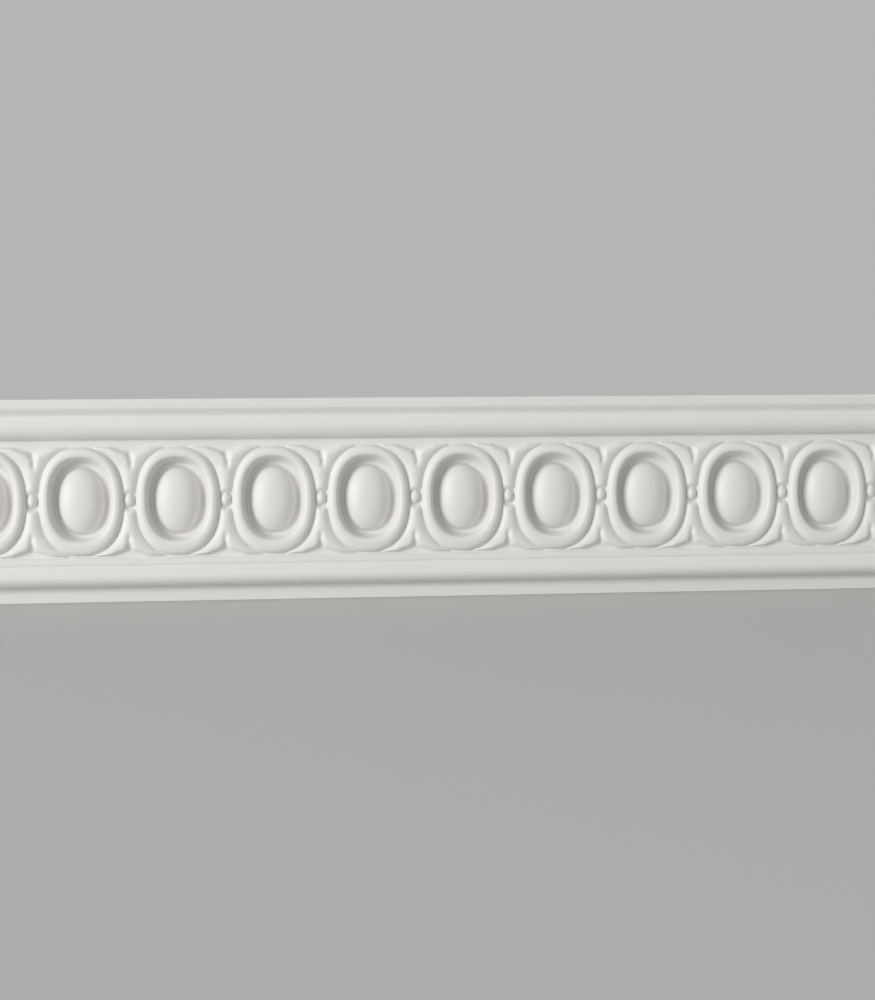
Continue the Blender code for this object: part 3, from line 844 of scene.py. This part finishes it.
def sawn_plaster():
    """The ends: bare gypsum with a saw's close, slightly wavering marks and open air bubbles."""
    material, tree, shader, place = start_material("sawn_bare_plaster")
    marks = add_node(
        tree, "ShaderNodeTexWave", {"bands_direction": "DIAGONAL"},
        Vector=place, Scale=1 / (6 * MM), Distortion=2.5, Detail=2.0, Detail_Scale=1.5,
    )
    powder = add_node(tree, "ShaderNodeTexNoise", Vector=place, Scale=1 / (0.7 * MM), Detail=4.0)
    colour = add_node(
        tree, "ShaderNodeMix", {"data_type": "RGBA"},
        Factor=powder.outputs["Fac"], i6=linear(SAWN_LIGHT), i7=linear(SAWN_DEEP),
    )
    tree.links.new(colour.outputs[2], shader.inputs["Base Color"])
    ridges = add_node(tree, "ShaderNodeBump", Height=marks.outputs["Fac"], Strength=0.5, Distance=0.1 * MM)
    grain = add_node(
        tree, "ShaderNodeBump", Height=powder.outputs["Fac"], Normal=ridges.outputs["Normal"],
        Strength=0.6, Distance=0.08 * MM,
    )
    bubbles = add_node(tree, "ShaderNodeTexVoronoi", Vector=place, Scale=1 / (2.4 * MM))
    bubble = add_node(
        tree, "ShaderNodeMapRange", Value=bubbles.outputs["Distance"], From_Min=0.08, From_Max=0.16,
    )
    holes = add_node(
        tree, "ShaderNodeBump", Height=bubble.outputs["Result"], Normal=grain.outputs["Normal"],
        Strength=0.8, Distance=0.3 * MM,
    )
    tree.links.new(holes.outputs["Normal"], shader.inputs["Normal"])
    shader.inputs["Roughness"].default_value = SAWN_ROUGHNESS
    shader.inputs["IOR"].default_value = GYPSUM_IOR
    return material


end_finish = sawn_plaster()
print("nodes in the sawn plaster:", len(end_finish.node_tree.nodes))

# %% [markdown]
# Struck-off plaster.
# The back was levelled with a rule while the plaster was wet. To the eye it is nearly as dull as the
# ends but closed by the rule's pressure, cloudy, with long faint drags and a few pits. A noise that is
# stretched along the rail makes the drags: about 90 mm long and 1.6 mm apart.

# %% Bare plaster, struck off
STRUCK_OFF_LIGHT, STRUCK_OFF_DEEP = "#ECE9E1", "#D6D2C6"
STRUCK_OFF_ROUGHNESS = 0.82


def struck_off_plaster():
    """The back: bare gypsum dragged along its length by the rule that levelled it in the mould."""
    material, tree, shader, place = start_material("struck_off_bare_plaster")
    stretched = add_node(tree, "ShaderNodeMapping", Vector=place, Scale=(1 / (90 * MM), 1.0, 1 / (1.6 * MM)))
    drag = add_node(tree, "ShaderNodeTexNoise", Vector=stretched.outputs["Vector"], Scale=1.0, Detail=4.0)
    cloud = add_node(tree, "ShaderNodeTexNoise", Vector=place, Scale=1 / (22 * MM), Detail=4.0)
    tone = add_node(
        tree, "ShaderNodeMix", {"data_type": "RGBA"},
        Factor=cloud.outputs["Fac"], i6=linear(STRUCK_OFF_LIGHT), i7=linear(STRUCK_OFF_DEEP),
    )
    tree.links.new(tone.outputs[2], shader.inputs["Base Color"])
    lines = add_node(tree, "ShaderNodeBump", Height=drag.outputs["Fac"], Strength=0.7, Distance=0.35 * MM)
    pits = add_node(tree, "ShaderNodeTexVoronoi", Vector=place, Scale=1 / (3.5 * MM))
    pit = add_node(
        tree, "ShaderNodeMapRange", Value=pits.outputs["Distance"], From_Min=0.06, From_Max=0.14,
    )
    holes = add_node(
        tree, "ShaderNodeBump", Height=pit.outputs["Result"], Normal=lines.outputs["Normal"],
        Strength=0.8, Distance=0.35 * MM,
    )
    tree.links.new(holes.outputs["Normal"], shader.inputs["Normal"])
    shader.inputs["Roughness"].default_value = STRUCK_OFF_ROUGHNESS
    shader.inputs["IOR"].default_value = GYPSUM_IOR
    return material


back_finish = struck_off_plaster()
print("nodes in the struck-off plaster:", len(back_finish.node_tree.nodes))

# %% Give the casting its finishes
for finish in (face_finish, end_finish, back_finish):
    mesh.materials.append(finish)
    print("finish:", finish.name)

# %% [markdown]
# The floor and the light.
# The rail stands on a plain pale floor. The shading says how it was lit: bright left flanks and dark
# channel walls on the left of each boss mean a soft light well round to the left and only a little
# above. Even surroundings fill the rest and keep the band open. A sun lamp would cut hard shadows
# there; a square lamp over a metre wide softens them as a window does.

# %% A pale floor
FLOOR_HALF_SIZE = 4.0
CARD_ROUGHNESS = 0.9
floor_mesh = bpy.data.meshes.new("pale_floor")
floor_sides = ((-1, -1), (1, -1), (1, 1), (-1, 1))
floor_corners = [(x * FLOOR_HALF_SIZE, y * FLOOR_HALF_SIZE, cad_low.z) for x, y in floor_sides]
floor_mesh.from_pydata(floor_corners, [], [(0, 1, 2, 3)])
floor = bpy.data.objects.new("pale_floor", floor_mesh)
bpy.context.scene.collection.objects.link(floor)
card, _, card_shader, _ = start_material("matt_pale_card")
card_shader.inputs["Base Color"].default_value = linear("#D2D2D0")
card_shader.inputs["Roughness"].default_value = CARD_ROUGHNESS
floor_mesh.materials.append(card)
print("the floor lies at", round(cad_low.z / MM, 1), "mm, the foot of the rail")

# %% A soft light
def soft_light(name, side_deg, up_deg, distance, size, watts):
    """A square soft light: side is measured from straight in front, positive to the right."""
    side, up = math.radians(side_deg), math.radians(up_deg)
    place = Vector((math.sin(side) * math.cos(up), -math.cos(side) * math.cos(up), math.sin(up))) * distance
    light = bpy.data.objects.new(name, bpy.data.lights.new(name, "AREA"))
    light.data.shape = "SQUARE"
    light.data.size = size
    light.data.energy = watts
    light.location = place
    light.rotation_euler = (-place).to_track_quat("-Z", "Y").to_euler()
    bpy.context.scene.collection.objects.link(light)
    return light


key = soft_light("key_from_the_left", side_deg=-50, up_deg=6, distance=2.4, size=1.3, watts=51)
print("key light at", [round(v, 2) for v in key.location], "m")

# %% The even surroundings
SURROUNDINGS_STRENGTH = 0.46
world = bpy.data.worlds.new("even_surroundings")
world.use_nodes = True
surroundings = world.node_tree.nodes["Background"]
surroundings.inputs["Color"].default_value = linear("#FFFFFF")
surroundings.inputs["Strength"].default_value = SURROUNDINGS_STRENGTH
bpy.context.scene.world = world
bpy.context.scene.view_settings.view_transform = "Standard"
print("surroundings' strength:", SURROUNDINGS_STRENGTH)

# %% [markdown]
# The camera.
# The rail was photographed from a little to the left, with the camera turned along it. So it grows
# slightly smaller to the right, and runs uphill that way by about half a degree. The lens and the
# place below were fitted to the edges of the ovals and the mouldings in the picture.

# %% Place the camera
FRAME_LONG_SIDE = 1000
FOCAL_PIXELS = 2000
SENSOR_MM = 36.0
NEAREST = 10 * MM
CAMERA_AT = Vector((-93.2, -712.7, 11.3)) * MM
TURNED_DEG, TIPPED_DEG, ROLLED_DEG = 6.92, -1.0, -0.60


def camera_matrix(place, turned_deg, tipped_deg, rolled_deg):
    """The camera turned from looking into the wall, towards the right, then tipped, then rolled."""
    turned, tipped, rolled = (math.radians(v) for v in (turned_deg, tipped_deg, rolled_deg))
    level = math.cos(tipped)
    ahead = Vector((math.sin(turned) * level, math.cos(turned) * level, math.sin(tipped)))
    level_right = Vector((math.cos(turned), -math.sin(turned), 0))
    level_up = level_right.cross(ahead)
    right = level_right * math.cos(rolled) + level_up * math.sin(rolled)
    up = level_up * math.cos(rolled) - level_right * math.sin(rolled)
    matrix = Matrix((right, up, -ahead)).transposed().to_4x4()
    matrix.translation = place
    return matrix


camera = bpy.data.objects.new("camera", bpy.data.cameras.new("camera"))
camera.data.sensor_width = SENSOR_MM
camera.data.lens = camera.data.sensor_width * FOCAL_PIXELS / FRAME_LONG_SIDE
camera.data.clip_start = NEAREST
camera.matrix_world = camera_matrix(CAMERA_AT, TURNED_DEG, TIPPED_DEG, ROLLED_DEG)
bpy.context.scene.collection.objects.link(camera)
bpy.context.scene.camera = camera
print("lens", round(camera.data.lens, 1), "mm")

# %% [markdown]
# A last update of the scene.
# The dressed rail must be no larger than the solid it stands for.

# %% Update the scene and finish
bpy.context.view_layer.update()
